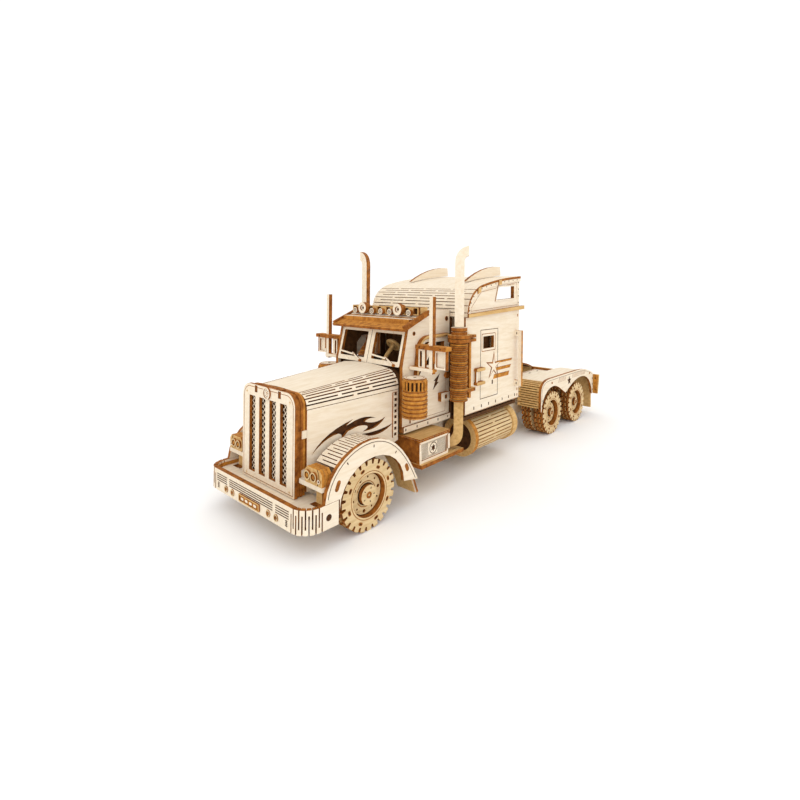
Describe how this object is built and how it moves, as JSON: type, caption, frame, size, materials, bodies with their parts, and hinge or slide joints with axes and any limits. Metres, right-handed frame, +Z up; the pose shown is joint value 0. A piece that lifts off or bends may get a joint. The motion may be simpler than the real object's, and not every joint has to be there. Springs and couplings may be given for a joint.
{
  "type": "wooden 3d jigsaw model",
  "caption": "Plywood construction-kit model of a long-nosed road tractor with high-roof sleeper, stacked toothed wheels turning on dowel axles.",
  "frame": {"origin": "centre of the bounding box in plan, on the floor under the tyres", "axes": "+X forward out of the grille, +Y the truck's left side, +Z up"},
  "size_m": [0.3078, 0.1058, 0.1343],
  "materials": {
    "light_ply": "bare birch plywood face, laser-engraved",
    "tan_ply": "plywood seen mostly on laser-browned edges and slits",
    "stacked_edges": "stacks of laser-cut plywood edges, burnt brown",
    "tyre_ply": "toothed plywood discs with browned edges",
    "dowel": "turned wooden dowel"
  },
  "bodies": {
    "root": {"frame_rail_left": "tan_ply", "frame_rail_right": "tan_ply", "hood_side_left": "light_ply", "hood_side_right": "light_ply", "front_fender_plate_left": "light_ply", "front_fender_plate_right": "light_ply", "front_fender_skin_left": "tan_ply", "front_fender_skin_right": "tan_ply", "headlight_left": "tan_ply", "headlight_right": "tan_ply", "cab_side_left": "light_ply", "cab_side_right": "light_ply", "air_cleaner_left": "tan_ply", "air_cleaner_right": "tan_ply", "battery_box_left": "light_ply", "battery_box_right": "light_ply", "fuel_tank_left": "light_ply", "fuel_tank_right": "light_ply", "muffler_left": "stacked_edges", "muffler_right": "stacked_edges", "exhaust_stack_left": "light_ply", "exhaust_stack_right": "light_ply", "mirror_left": "light_ply", "mirror_right": "light_ply", "sleeper_side_left": "light_ply", "sleeper_side_right": "light_ply", "roof_fin_left": "light_ply", "roof_fin_right": "light_ply", "rear_fender_plate_left": "light_ply", "rear_fender_plate_right": "light_ply", "rear_fender_skin_left": "tan_ply", "rear_fender_skin_right": "tan_ply", "frame_deck": "light_ply", "tail_plate": "tan_ply", "bumper_skin": "light_ply", "bumper_shelf": "light_ply", "grille_front_plate": "light_ply", "grille_lattice": "tan_ply", "grille_surround": "stacked_edges", "hood_top_sheet": "light_ply", "firewall": "tan_ply", "windshield_frame": "light_ply", "cab_roof": "light_ply", "body_floor": "light_ply", "cab_rear_wall": "light_ply", "seat_bench": "tan_ply", "steering_wheel": "stacked_edges", "sun_visor": "stacked_edges", "roof_lamp_bar": "tan_ply", "sleeper_rear_wall": "light_ply", "roof_fairing_sheet": "light_ply"},
    "front_axle_set": {"front_axle": "dowel", "front_wheel_left": "tyre_ply", "front_wheel_right": "tyre_ply"},
    "middle_axle_set": {"middle_axle": "dowel", "middle_wheel_left": "tyre_ply", "middle_wheel_right": "tyre_ply"},
    "rear_axle_set": {"rear_axle": "dowel", "rear_wheel_left": "tyre_ply", "rear_wheel_right": "tyre_ply"}
  },
  "joints": [
    {"name": "front_axle_spin", "type": "hinge", "parent": "root", "child": "front_axle_set", "pos_m": [0.11805, 0, 0.016], "axis": [0, 1, 0], "continuous": true},
    {"name": "middle_axle_spin", "type": "hinge", "parent": "root", "child": "middle_axle_set", "pos_m": [-0.07095, 0, 0.016], "axis": [0, 1, 0], "continuous": true},
    {"name": "rear_axle_spin", "type": "hinge", "parent": "root", "child": "rear_axle_set", "pos_m": [-0.11645, 0, 0.016], "axis": [0, 1, 0], "continuous": true}
  ]
}
